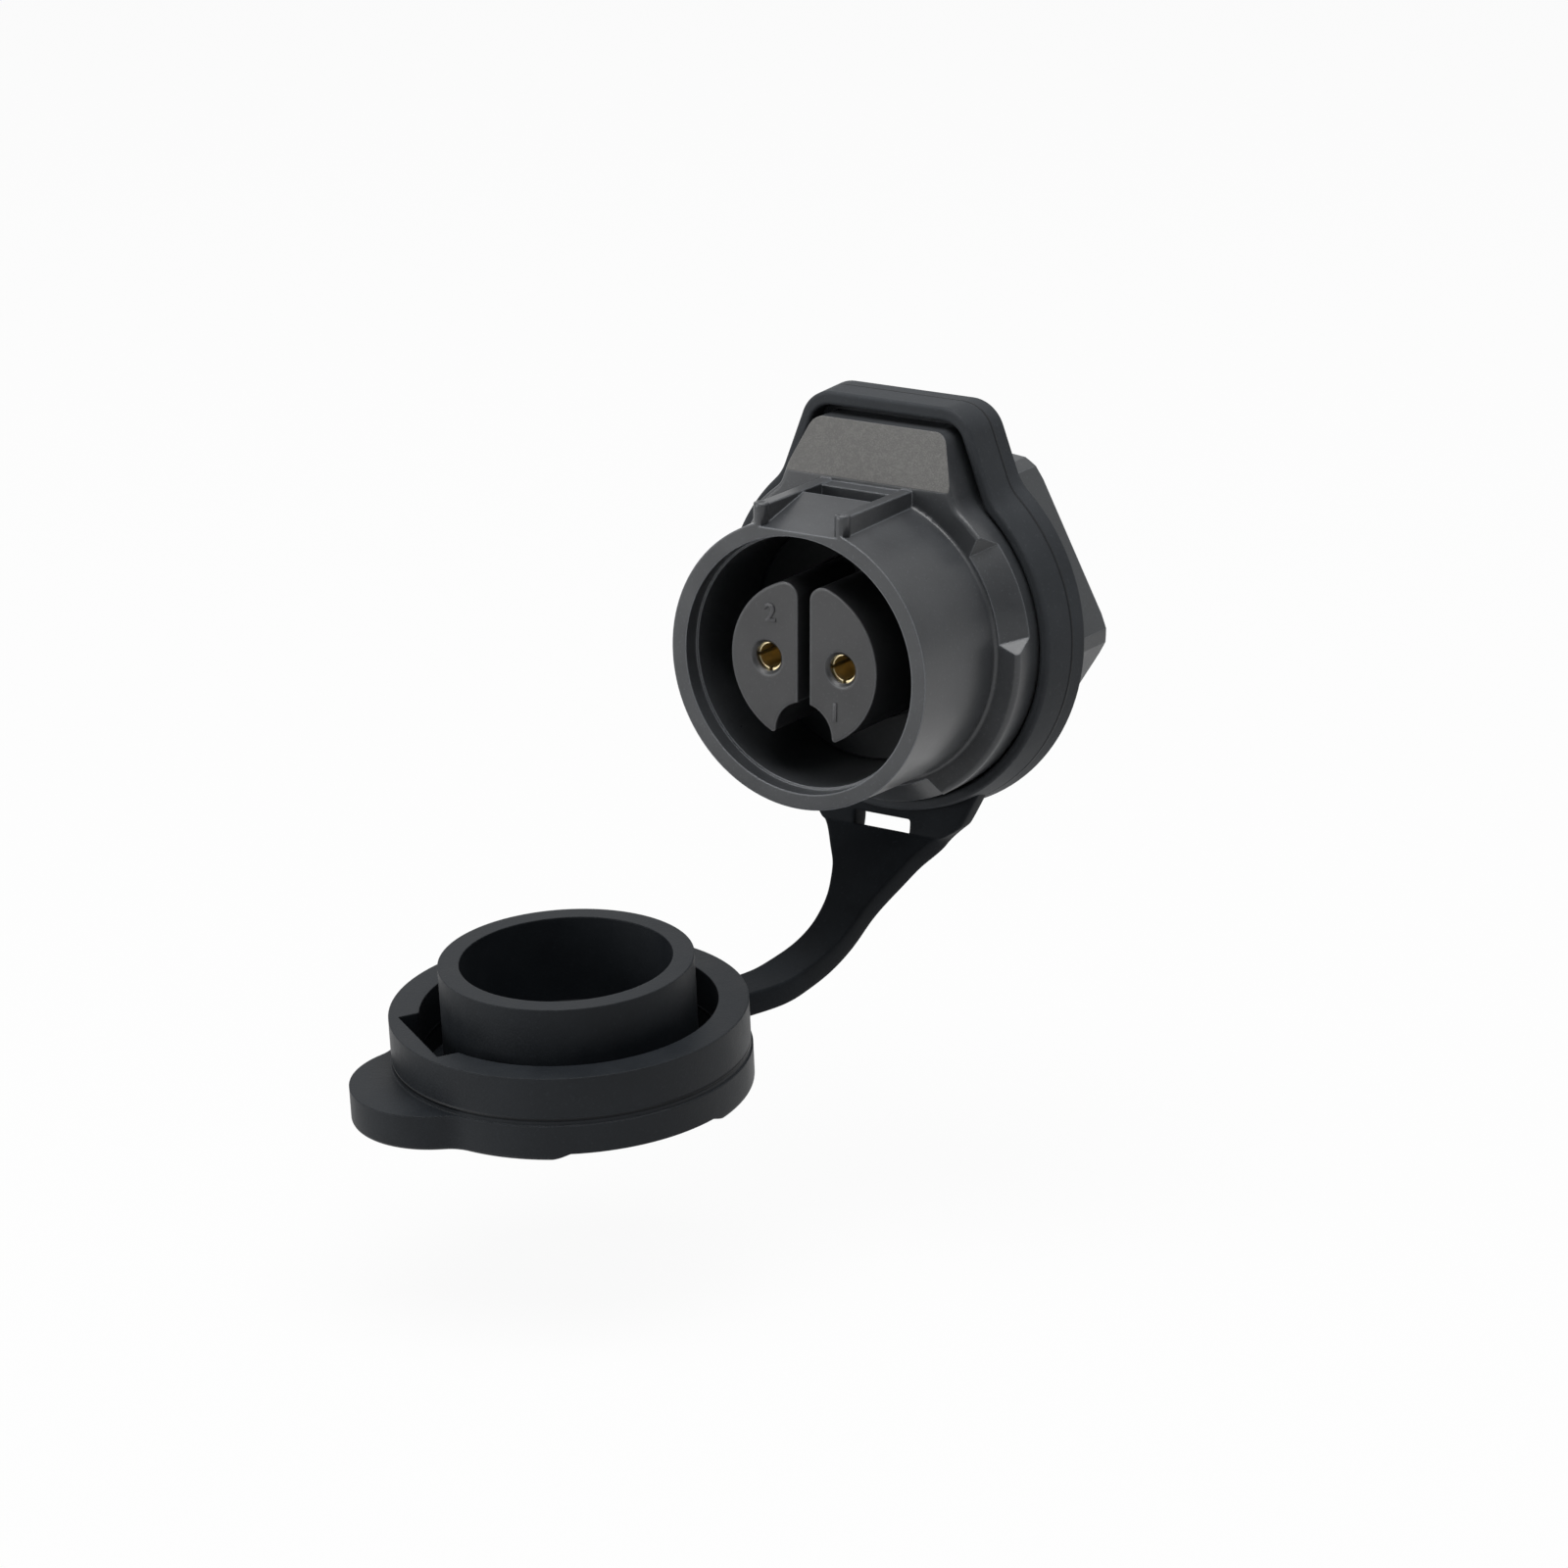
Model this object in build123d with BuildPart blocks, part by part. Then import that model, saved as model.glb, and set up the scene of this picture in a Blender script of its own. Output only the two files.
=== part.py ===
from build123d import *
import os
from math import cos, hypot, radians, sin, sqrt, tan

os.makedirs("parts", exist_ok=True)

# Waterproof panel-mount circular connector with two socket contacts.
# Millimetres. The connector's axis is Y: the mouth looks toward -Y, the latch and lug are at +Z.
# The origin is on the axis, in the plane where the sealing collar meets the panel.

# Shell, front of the panel
rim_to_seat = 18.0
shell_radius = 12.0
shell_draft = 0.28
mouth_wall = 1.31
mouth_depth = 1.5
bore_wall = 1.53
ring_space_depth = 11.5
web_thickness = 2.0
shell_root_radius = 0.3

# Flange and label lug
flange_width = 2.17
flange_front_to_seat = 7.5
flange_thickness = 5.0
flange_edge_radius = 0.4
lug_foot_half_width = 7.88
lug_foot_ledge = 0.77
lug_rise = 4.41
lug_side_tilt = 20.8
lug_facet_setback = 2.0
lug_corner_radius = 1.3
lug_root_radius = 2.0

# Scallops in the flange's front edge: middle and span at the inner edge in degrees. Each end wall leans
# outward: its front edge runs out by the flare angle, and its foot runs in by the foot angle.
scallops = [(22.5, 34.4), (157.5, 34.4), (270.0, 56.0)]
scallop_ledge = 0.42
scallop_depth = 1.9
scallop_overrun = 0.5
scallop_end_flare = 3.4
scallop_end_foot = 1.2

# Latch bracket on top of the shell
latch_half_width = 4.35
latch_rib_width = 1.05
latch_rise = 0.85
latch_cross_drop = 0.15
latch_root_overlap = 0.3
ramp_foot_depth = 0.9
ramp_length = 6.2
latch_window_length = 2.8
latch_window_depth = 0.8
latch_nose_radius = 0.5
latch_top_radius = 0.12

# Threaded barrel behind the panel, its thread drawn as rings
barrel_radius = 11.0
barrel_length = 8.9
barrel_lead_in = 0.7
barrel_bore_radius = 9.2
thread_pitch = 1.0
thread_depth = 0.6
thread_groove_half_width = 0.35
thread_start = 0.4

# Contact block
island_radius = 6.84
island_recess = 0.95
island_slot_width = 1.2
island_slot_depth = 9.0
island_top_corner_radius = 1.2
island_tip_radius = 0.25
key_notch_radius = 2.7
key_notch_drop = 6.0
block_length_behind_web = 4.0
insert_clearance = 0.06

# Seals
insert_seal_radius = 8.1
insert_seal_section = 0.55
insert_seal_side_gap = 0.1
interface_seal_thickness = 1.0
interface_seal_gap = 0.12
contact_seal_section = 0.45

# Contacts and their spring sleeves
contact_pitch = 7.0
contact_entry_radius = 1.2
contact_entry_depth = 0.5
contact_entry_flare = 0.3
contact_radius = 1.5
contact_bore_radius = 1.03
contact_bore_depth = 8.5
contact_slit_width = 0.3
contact_slit_depth = 6.5
contact_front_gap = 0.15
contact_shoulder_length = 1.5
contact_tail_length = 10.5
contact_clearance = 0.04
solder_cup_radius = 1.15
solder_cup_depth = 4.5
solder_cup_window = 2.5
sleeve_wall = 0.2
sleeve_length = 7.0
sleeve_gap = 0.1

# Rear insert and its lock ring
rear_insert_thickness = 4.0
lock_ring_thickness = 2.5
lock_ring_wall = 1.55
lock_ring_slot_width = 2.0
lock_ring_slot_depth = 1.0

# Sealing collar
collar_round_wall = 0.93
collar_round_growth = 0.79
collar_front_to_seat = 4.5
collar_top_wall = 1.14
collar_side_wall = 0.95
collar_side_growth = 0.45
collar_corner_radius = 3.0
collar_root_radius = 4.0
collar_edge_radius = 0.28
collar_lip_radius = 0.3
collar_gap = 0.15
collar_lug_gap = 0.7
collar_bore_clearance = 0.05

# Strap: points on its middle line, each with the strap's half width there, and the slot near its root
strap_thickness = 2.0
strap_route = [
    ((0.0, -2.4, -14.0), 8.6),
    ((-0.2, -2.4, -16.2), 6.8),
    ((-0.55, -2.6, -18.1), 5.5),
    ((-0.45, -3.9, -19.3), 4.5),
    ((-0.2, -5.5, -20.6), 3.7),
    ((-0.15, -7.1, -21.9), 2.9),
    ((-0.4, -8.7, -23.3), 2.3),
    ((-0.85, -10.9, -25.0), 2.1),
    ((-1.3, -13.5, -26.2), 2.05),
    ((-1.8, -16.3, -27.0), 2.05),
    ((-2.3, -19.2, -27.5), 2.05),
    ((-3.9, -24.0, -27.7), 2.1),
]
strap_slot_width = 5.4
strap_slot_height = 1.7
strap_slot_side = -0.4
strap_slot_height_above_axis = -17.5

# Dust cap, hanging open: middle of its mouth, its lean toward the front and its turn about its own line
cap_mouth_side = 10.98
cap_mouth_forward = 35.28
cap_mouth_drop = 21.78
cap_lean = 4.6
cap_turn = -33.6
tube_gap = 0.17
tube_wall = 1.7
tube_rise = 4.0
skirt_gap = 0.05
skirt_wall = 2.45
skirt_height = 4.0
plate_overhang = 0.15
plate_thickness = 3.0
plate_edge_radius = 0.4
groove_depth_in_plate = 1.4
latch_pocket_gap = 0.12
pull_tab_length = 3.95
pull_tab_radius = 7.2
pull_tab_root_radius = 3.0
face_recess_depth = 0.6
face_recess_half_width = 7.6
face_recess_floor_half_width = 6.2
face_recess_middle = -0.5

# Lock nut
nut_wall_at_flats = 2.8
nut_corner_cut = 0.33
nut_thickness = 5.2
nut_chamfer = 0.55
nut_chamfer_rise = 0.24
nut_turn = -1.9
nut_clearance = 0.06
nut_seat_gap = 0.04

# Places and sizes worked out from the values above
mouth_radius = shell_radius - mouth_wall
shell_foot_radius = shell_radius + shell_draft
flange_radius = shell_foot_radius + flange_width
scallop_inner_radius = shell_foot_radius + scallop_ledge
lug_foot_height = shell_foot_radius + lug_foot_ledge
lug_top_height = lug_foot_height + lug_rise
bore_radius = shell_radius - bore_wall
latch_top_height = shell_radius + latch_rise
latch_cross_height = latch_top_height - latch_cross_drop
ramp_foot_height = shell_radius - ramp_foot_depth
latch_window_floor = shell_radius - latch_window_depth
rim = -rim_to_seat
flange_front = -flange_front_to_seat
flange_back = flange_front + flange_thickness
floor = rim + ring_space_depth
web_back = floor + web_thickness
island_front = rim + island_recess
block_back = web_back + block_length_behind_web
rear_insert_back = block_back + rear_insert_thickness
lock_ring_back = rear_insert_back + lock_ring_thickness
contact_front = island_front + contact_entry_depth + contact_front_gap
shoulder_front = block_back - contact_shoulder_length
contact_pocket_front = shoulder_front - 2 * contact_seal_section
contact_pocket_radius = contact_radius + 2 * contact_seal_section
sleeve_radius = contact_radius + contact_clearance + sleeve_wall
contact_end = block_back + contact_tail_length
insert_radius = barrel_bore_radius - insert_clearance
contact_sides = [contact_pitch / 2, -contact_pitch / 2]
collar_front = -collar_front_to_seat
collar_front_radius = flange_radius + collar_gap + collar_round_wall
collar_rear_radius = collar_front_radius + collar_round_growth
collar_top = lug_top_height + collar_lug_gap + collar_top_wall
nut_flat_radius = barrel_radius + nut_wall_at_flats
nut_corner_radius = 2 * nut_flat_radius / sqrt(3) - nut_corner_cut


def across(y):
    """Sketch plane square to the axis at depth y, seen from the front: x right, height up."""
    return Plane.XZ.offset(-y)


def keystone(y, radius, foot_half_width, top, corner_radius, root_radius):
    """Outline of a round flange with a tapered lug on top, at depth y."""
    taper = tan(radians(lug_side_tilt))
    join = radius / 2
    join_half_width = foot_half_width + (lug_foot_height - join) * taper
    top_half_width = foot_half_width - (top - lug_foot_height) * taper
    with BuildSketch(across(y)) as outline:
        Circle(radius)
        Polygon(
            (-top_half_width, top), (top_half_width, top),
            (join_half_width, join), (-join_half_width, join),
            align=None,
        )
        fillet(outline.vertices().group_by(Axis.Y)[-1], radius=corner_radius)
        roots = [v for v in outline.vertices() if v.Y > join and abs(hypot(v.X, v.Y) - radius) < 0.001]
        fillet(roots, radius=root_radius)
    return outline.sketch


def turned(points, side=0.0):
    """Solid turned from (radius, depth) points about a line beside the axis, parallel to it."""
    with BuildPart() as solid:
        with BuildSketch(Plane.XY):
            with BuildLine():
                Polyline(*points, close=True)
            make_face()
        revolve(axis=Axis.Y)
    return solid.part.moved(Location((side, 0, 0)))


def o_ring(ring_radius, section, y, side=0.0):
    """O-ring about a line beside the axis, its middle at depth y."""
    with BuildPart() as ring:
        with BuildSketch(Plane.XY):
            with Locations((ring_radius, y)):
                Circle(section)
        revolve(axis=Axis.Y)
    return ring.part.moved(Location((side, 0, 0)))


def round_point(radius, angle, y):
    """Point at this radius from the axis, angle in degrees and depth."""
    return Vector(radius * cos(radians(angle)), y, radius * sin(radians(angle)))


def scallop_cutter(middle, span):
    """What one scallop takes off the flange: a cone's slice between two leaning end walls."""
    slope = scallop_depth / (flange_radius - scallop_inner_radius)
    reach = flange_radius + scallop_overrun
    start = radians(middle + span / 2 + 2 * scallop_end_flare)
    wall = Plane(origin=(0, 0, 0), x_dir=(cos(start), 0, sin(start)), z_dir=(-sin(start), 0, cos(start)))
    with BuildPart() as cutter:
        with BuildSketch(wall):
            Polygon(
                (scallop_inner_radius - scallop_overrun / slope, flange_front - scallop_overrun),
                (reach, flange_front - scallop_overrun),
                (reach, flange_front + slope * (reach - scallop_inner_radius)),
                align=None,
            )
        revolve(axis=Axis.Y, revolution_arc=span + 4 * scallop_end_flare)
        for way in (-1, 1):
            end = middle + way * span / 2
            inner = round_point(scallop_inner_radius, end, flange_front)
            outer = round_point(flange_radius, end + way * scallop_end_flare, flange_front)
            foot = round_point(flange_radius, end - way * scallop_end_foot, flange_front + scallop_depth)
            facing = (outer - inner).cross(foot - inner).normalized()
            if facing.dot(round_point(flange_radius, middle, flange_front) - inner) < 0:
                facing = -facing
            split(bisect_by=Plane(origin=inner, z_dir=facing), keep=Keep.TOP)
    return cutter.part


def thread_outline():
    """Points of the thread's rings along the barrel: a V groove for each pitch."""
    count = int((barrel_length - barrel_lead_in - thread_start) / thread_pitch)
    middles = [thread_start + (index + 0.5) * thread_pitch for index in range(count)]
    return [
        point
        for middle in middles
        for point in (
            (barrel_radius, middle - thread_groove_half_width), (barrel_radius - thread_depth, middle),
            (barrel_radius, middle + thread_groove_half_width),
        )
    ]


# Shell: flange and lug first, then the front cylinder, the latch bracket and the barrel
with BuildPart() as shell:
    flange = keystone(
        flange_front, flange_radius, lug_foot_half_width, lug_top_height, lug_corner_radius, lug_root_radius
    )
    extrude(to_extrude=flange, amount=-flange_thickness)
    fillet(shell.faces().sort_by(Axis.Y)[0].edges(), radius=flange_edge_radius)

    # slanted label facet on the lug
    facet_slope = lug_facet_setback / lug_rise
    facet_top = lug_top_height + flange_edge_radius
    with BuildSketch(Plane.YZ):
        Polygon(
            (flange_front, lug_foot_height),
            (flange_front + facet_slope * (facet_top - lug_foot_height), facet_top),
            (flange_front - scallop_overrun, facet_top),
            (flange_front - scallop_overrun, lug_foot_height),
            align=None,
        )
    extrude(amount=flange_radius, both=True, mode=Mode.SUBTRACT)

    # scallops in the flange's front edge
    for middle, span in scallops:
        add(scallop_cutter(middle, span), mode=Mode.SUBTRACT)

    # front cylinder with its draft, and the barrel with its thread
    add(turned([
        (0, rim), (shell_radius, rim), (shell_foot_radius, flange_front),
        (shell_foot_radius, flange_back), (barrel_radius, flange_back), *thread_outline(),
        (barrel_radius, barrel_length - barrel_lead_in), (barrel_radius - barrel_lead_in, barrel_length),
        (0, barrel_length),
    ]))
    rounds = shell.edges().filter_by(GeomType.CIRCLE).filter_by_position(Axis.Y, flange_front, flange_front)
    roots = [edge for edge in rounds if abs(edge.radius - shell_foot_radius) < 0.001]
    fillet(roots, radius=shell_root_radius)

    # latch bracket: two ribs, a ramp, a window and a crossbar
    latch_root = sqrt(shell_radius**2 - latch_half_width**2) - latch_root_overlap
    with BuildSketch(across(rim)):
        with Locations((0, latch_root)):
            Rectangle(2 * latch_half_width, latch_top_height - latch_root, align=(Align.CENTER, Align.MIN))
    extrude(amount=-(rim_to_seat - flange_front_to_seat))
    ramp_end = rim + ramp_length
    window_end = ramp_end + latch_window_length
    above_latch = latch_top_height + latch_root_overlap
    with BuildSketch(Plane.YZ):
        Polygon(
            (rim, ramp_foot_height), (ramp_end, latch_cross_height), (ramp_end, latch_window_floor),
            (window_end, latch_window_floor), (window_end, latch_cross_height),
            (flange_front, latch_cross_height), (flange_front, above_latch), (rim, above_latch),
            align=None,
        )
    extrude(amount=latch_half_width - latch_rib_width, both=True, mode=Mode.SUBTRACT)
    noses = shell.edges().filter_by(Axis.Z).filter_by_position(Axis.Y, rim, rim)
    fillet(noses, radius=latch_nose_radius)
    tops = shell.faces().filter_by(Axis.Z).filter_by_position(
        Axis.Z, latch_top_height - 0.001, latch_top_height + 0.001
    )
    rims = tops.edges().filter_by_position(Axis.Y, rim, flange_front, inclusive=(True, False))
    fillet(rims, radius=latch_top_radius)

    # mouth, ring space, the block's seat and the bore behind it
    add(turned([
        (0, rim), (mouth_radius, rim), (mouth_radius, rim + mouth_depth), (bore_radius, rim + mouth_depth),
        (bore_radius, floor), (island_radius + insert_clearance, floor),
        (island_radius + insert_clearance, web_back), (barrel_bore_radius, web_back),
        (barrel_bore_radius, barrel_length), (0, barrel_length),
    ]), mode=Mode.SUBTRACT)
shell.part.label = "shell"

# Contact block: two islands with a slot and a key notch between them, and a flange behind the web
with BuildPart() as contact_block:
    with BuildSketch(across(island_front)) as islands:
        Circle(island_radius)
        Rectangle(island_slot_width, 3 * island_radius, mode=Mode.SUBTRACT)
        with Locations((0, -key_notch_drop)):
            Circle(key_notch_radius, mode=Mode.SUBTRACT)
        tops = islands.vertices().group_by(Axis.Y)[-1]
        fillet(tops, radius=island_top_corner_radius)
        tips = [v for v in islands.vertices() if v.Y < 0 and abs(hypot(v.X, v.Y) - island_radius) < 0.001]
        fillet(tips, radius=island_tip_radius)
    extrude(amount=-island_slot_depth)
    add(turned([
        (0, island_front + island_slot_depth), (island_radius, island_front + island_slot_depth),
        (island_radius, web_back), (insert_radius, web_back), (insert_radius, block_back), (0, block_back),
    ]))
    groove_half_width = insert_seal_section + insert_seal_side_gap
    groove_floor = web_back + 2 * insert_seal_section
    add(turned([
        (insert_seal_radius - groove_half_width, web_back),
        (insert_seal_radius + groove_half_width, web_back),
        (insert_seal_radius + groove_half_width, groove_floor),
        (insert_seal_radius - groove_half_width, groove_floor),
    ]), mode=Mode.SUBTRACT)
    for contact_side in contact_sides:
        add(turned([
            (0, island_front), (contact_entry_radius + contact_entry_flare, island_front),
            (contact_entry_radius, island_front + contact_entry_flare),
            (contact_entry_radius, island_front + contact_entry_depth),
            (sleeve_radius + sleeve_gap, island_front + contact_entry_depth),
            (sleeve_radius + sleeve_gap, contact_front + sleeve_length + sleeve_gap),
            (contact_radius + contact_clearance, contact_front + sleeve_length + sleeve_gap),
            (contact_radius + contact_clearance, contact_pocket_front),
            (contact_pocket_radius, contact_pocket_front), (contact_pocket_radius, block_back),
            (0, block_back),
        ], contact_side), mode=Mode.SUBTRACT)
contact_block.part.label = "contact_block"

# Rear insert: traps the contacts' shoulders
with BuildPart() as rear_insert:
    add(turned([
        (0, block_back), (insert_radius, block_back),
        (insert_radius, rear_insert_back), (0, rear_insert_back),
    ]))
    with BuildSketch(across(block_back)):
        for contact_side in contact_sides:
            with Locations((contact_side, 0)):
                Circle(contact_radius + contact_clearance)
    extrude(amount=-rear_insert_thickness, mode=Mode.SUBTRACT)
rear_insert.part.label = "rear_insert"

# Lock ring behind the inserts, with two spanner slots
with BuildPart() as insert_lock_ring:
    add(turned([
        (insert_radius - lock_ring_wall, rear_insert_back), (insert_radius, rear_insert_back),
        (insert_radius, lock_ring_back), (insert_radius - lock_ring_wall, lock_ring_back),
    ]))
    with BuildSketch(across(lock_ring_back)):
        Rectangle(3 * barrel_bore_radius, lock_ring_slot_width)
    extrude(amount=lock_ring_slot_depth, mode=Mode.SUBTRACT)
insert_lock_ring.part.label = "insert_lock_ring"

# Seals round the inserts
insert_seal = o_ring(insert_seal_radius, insert_seal_section, web_back + insert_seal_section)
insert_seal.label = "insert_seal"
interface_seal = turned([
    (island_radius + interface_seal_gap, floor - interface_seal_thickness),
    (bore_radius - interface_seal_gap, floor - interface_seal_thickness),
    (bore_radius - interface_seal_gap, floor), (island_radius + interface_seal_gap, floor),
])
interface_seal.label = "interface_seal"


def make_contact(side, label):
    """Socket contact: slit tube in front, shoulder, and a solder cup with a window behind."""
    with BuildPart() as contact:
        add(turned([
            (0, contact_front + contact_bore_depth),
            (contact_bore_radius, contact_front + contact_bore_depth),
            (contact_bore_radius, contact_front), (contact_radius, contact_front),
            (contact_radius, shoulder_front), (contact_pocket_radius - contact_clearance, shoulder_front),
            (contact_pocket_radius - contact_clearance, block_back), (contact_radius, block_back),
            (contact_radius, contact_end), (solder_cup_radius, contact_end),
            (solder_cup_radius, contact_end - solder_cup_depth), (0, contact_end - solder_cup_depth),
        ], side))
        with BuildSketch(across(contact_front)):
            with Locations((side, 0)):
                Rectangle(contact_slit_width, 4 * contact_radius)
                Rectangle(4 * contact_radius, contact_slit_width)
        extrude(amount=-contact_slit_depth, mode=Mode.SUBTRACT)
        with BuildSketch(across(contact_end)):
            with Locations((side, 0)):
                Rectangle(3 * contact_radius, 2 * contact_radius, align=(Align.CENTER, Align.MIN))
        extrude(amount=solder_cup_window, mode=Mode.SUBTRACT)
    contact.part.label = label
    return contact.part


contacts = []
sleeves = []
contact_seals = []
for number, contact_side in enumerate(contact_sides, start=1):
    contacts.append(make_contact(contact_side, f"contact_{number}"))
    sleeve = turned([
        (contact_radius + contact_clearance, contact_front), (sleeve_radius, contact_front),
        (sleeve_radius, contact_front + sleeve_length),
        (contact_radius + contact_clearance, contact_front + sleeve_length),
    ], contact_side)
    sleeve.label = f"contact_sleeve_{number}"
    sleeves.append(sleeve)
    seal = o_ring(
        contact_radius + contact_seal_section, contact_seal_section,
        shoulder_front - contact_seal_section, contact_side,
    )
    seal.label = f"contact_seal_{number}"
    contact_seals.append(seal)


def collar_envelope():
    """The collar's outside as one filled solid, widening toward the panel."""
    foot_half_width = lug_foot_half_width + (collar_lug_gap + collar_side_wall) / cos(radians(lug_side_tilt))
    with BuildPart() as envelope:
        add(keystone(
            collar_front, collar_front_radius, foot_half_width, collar_top,
            collar_corner_radius, collar_root_radius,
        ))
        add(keystone(
            0.0, collar_rear_radius, foot_half_width + collar_side_growth, collar_top,
            collar_corner_radius, collar_root_radius,
        ))
        loft(ruled=True)
        fillet(envelope.faces().sort_by(Axis.Y)[0].edges(), radius=collar_edge_radius)
    return envelope.part


# Sealing collar: holds the flange in its pocket and seals against the panel
with BuildPart() as sealing_collar:
    add(collar_envelope())
    pocket = keystone(
        collar_front, flange_radius + collar_gap,
        lug_foot_half_width + collar_lug_gap / cos(radians(lug_side_tilt)), lug_top_height + collar_lug_gap,
        lug_corner_radius + collar_lug_gap, lug_root_radius,
    )
    extrude(to_extrude=pocket, amount=-(flange_back - collar_front), mode=Mode.SUBTRACT)
    lip = sealing_collar.faces().sort_by(Axis.Y)[0].inner_wires()
    fillet(lip.edges(), radius=collar_lip_radius)
    with BuildSketch(across(0.0)):
        Circle(barrel_radius + collar_bore_clearance)
    extrude(amount=-flange_back, mode=Mode.SUBTRACT)
sealing_collar.part.label = "sealing_collar"

# Dust cap, in its own planes: the mouth is level 0 and the levels go down into the cap
lean = radians(cap_lean)
turn = radians(cap_turn)
cap_up = Vector(0, -sin(lean), cos(lean))
cap_forward = Vector(0, -cos(lean), -sin(lean)) * cos(turn) + Vector(1, 0, 0) * sin(turn)
cap_mouth = Vector(-cap_mouth_side, -cap_mouth_forward, -cap_mouth_drop)
cap_plane = Plane(origin=cap_mouth, x_dir=cap_forward, z_dir=cap_up)
cap_line = Axis(origin=cap_mouth, direction=cap_up)
tube_radius = bore_radius - tube_gap
skirt_bore_radius = shell_radius + skirt_gap
skirt_radius = skirt_bore_radius + skirt_wall
plate_radius = skirt_radius + plate_overhang
pull_tab_middle = plate_radius + pull_tab_length - pull_tab_radius
plate_level = tube_rise + skirt_height
outer_level = plate_level + plate_thickness


def cap_level(depth):
    """Sketch plane across the cap, this deep below its mouth: x toward the pull tab."""
    return cap_plane.offset(-depth)


with BuildPart() as dust_cap:
    with BuildSketch(cap_level(tube_rise)):
        Circle(skirt_radius)
    extrude(amount=-skirt_height)
    with BuildSketch(cap_level(plate_level)) as plate:
        Circle(plate_radius)
        with Locations((pull_tab_middle, 0)):
            Circle(pull_tab_radius)
        tab_roots = [v for v in plate.vertices() if abs(v.Y) > pull_tab_radius / 2]
        fillet(tab_roots, radius=pull_tab_root_radius)
    extrude(amount=-plate_thickness)
    fillet(dust_cap.faces().sort_by(cap_line)[0].edges(), radius=plate_edge_radius)
    outer_middle = cap_plane.origin - cap_up * outer_level
    with BuildSketch(Plane(origin=outer_middle, x_dir=cap_forward, z_dir=cap_forward.cross(cap_up))):
        Polygon(
            (face_recess_middle - face_recess_half_width, 0),
            (face_recess_middle + face_recess_half_width, 0),
            (face_recess_middle + face_recess_floor_half_width, face_recess_depth),
            (face_recess_middle - face_recess_floor_half_width, face_recess_depth),
            align=None,
        )
    extrude(amount=2 * plate_radius, both=True, mode=Mode.SUBTRACT)
    with BuildSketch(cap_level(tube_rise)):
        Circle(skirt_bore_radius)
        Rectangle(
            latch_top_height + latch_pocket_gap, 2 * (latch_half_width + latch_pocket_gap),
            align=(Align.MIN, Align.CENTER),
        )
    extrude(amount=-(skirt_height + groove_depth_in_plate), mode=Mode.SUBTRACT)
    with BuildSketch(cap_level(0.0)):
        Circle(tube_radius)
        Circle(tube_radius - tube_wall, mode=Mode.SUBTRACT)
    extrude(amount=-(plate_level + groove_depth_in_plate))
dust_cap.part.label = "dust_cap"

# Strap: a flat band that narrows and curls forward from the collar's foot to the cap's side
with BuildPart() as cap_strap:
    for index, (point, half_width) in enumerate(strap_route):
        before = Vector(*strap_route[max(index - 1, 0)][0])
        after = Vector(*strap_route[min(index + 1, len(strap_route) - 1)][0])
        along = (after - before).normalized()
        flat = (Vector(1, 0, 0) - along * along.X).normalized()
        with BuildSketch(Plane(origin=point, x_dir=flat, z_dir=along)):
            Rectangle(2 * half_width, strap_thickness)
    loft(ruled=True)
    add(collar_envelope(), mode=Mode.SUBTRACT)
    with BuildSketch(cap_level(tube_rise)):
        Circle(plate_radius)
    extrude(amount=tube_rise - outer_level, mode=Mode.SUBTRACT)
    with BuildSketch(across(0.0)):
        with Locations((strap_slot_side, strap_slot_height_above_axis)):
            Rectangle(strap_slot_width, strap_slot_height)
    extrude(amount=flange_front_to_seat, mode=Mode.SUBTRACT)
cap_strap.part.label = "cap_strap"

# Lock nut: hexagon with its corners turned off and both faces chamfered
with BuildPart() as lock_nut:
    nut_back = nut_seat_gap + nut_thickness
    with BuildSketch(across(nut_seat_gap)):
        RegularPolygon(radius=nut_flat_radius, side_count=6, major_radius=False, rotation=nut_turn)
    extrude(amount=-nut_thickness)
    add(turned([
        (barrel_radius + nut_clearance, nut_seat_gap),
        (nut_corner_radius - nut_chamfer, nut_seat_gap), (nut_corner_radius, nut_seat_gap + nut_chamfer_rise),
        (nut_corner_radius, nut_back - nut_chamfer_rise), (nut_corner_radius - nut_chamfer, nut_back),
        (barrel_radius + nut_clearance, nut_back),
    ]), mode=Mode.INTERSECT)
lock_nut.part.label = "lock_nut"

pieces = [
    shell.part, contact_block.part, rear_insert.part, insert_lock_ring.part, insert_seal, interface_seal,
    *contacts, *sleeves, *contact_seals, sealing_collar.part, dust_cap.part, cap_strap.part, lock_nut.part,
]
for piece in pieces:
    export_step(piece, f"parts/{piece.label}.step")
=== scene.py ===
"""Dresses a waterproof panel connector with two contacts, and sets it under soft light for its picture.

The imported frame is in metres: the connector's axis is Y, its mouth looks toward -Y, and +Z is up. Sizes of
pieces and finishes are written in millimetres, and those of the floor, lamps and camera in metres.
"""
import logging
import math
from dataclasses import dataclass
from enum import Enum

import bpy
import numpy as np
from mathutils import Matrix, Vector


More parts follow.
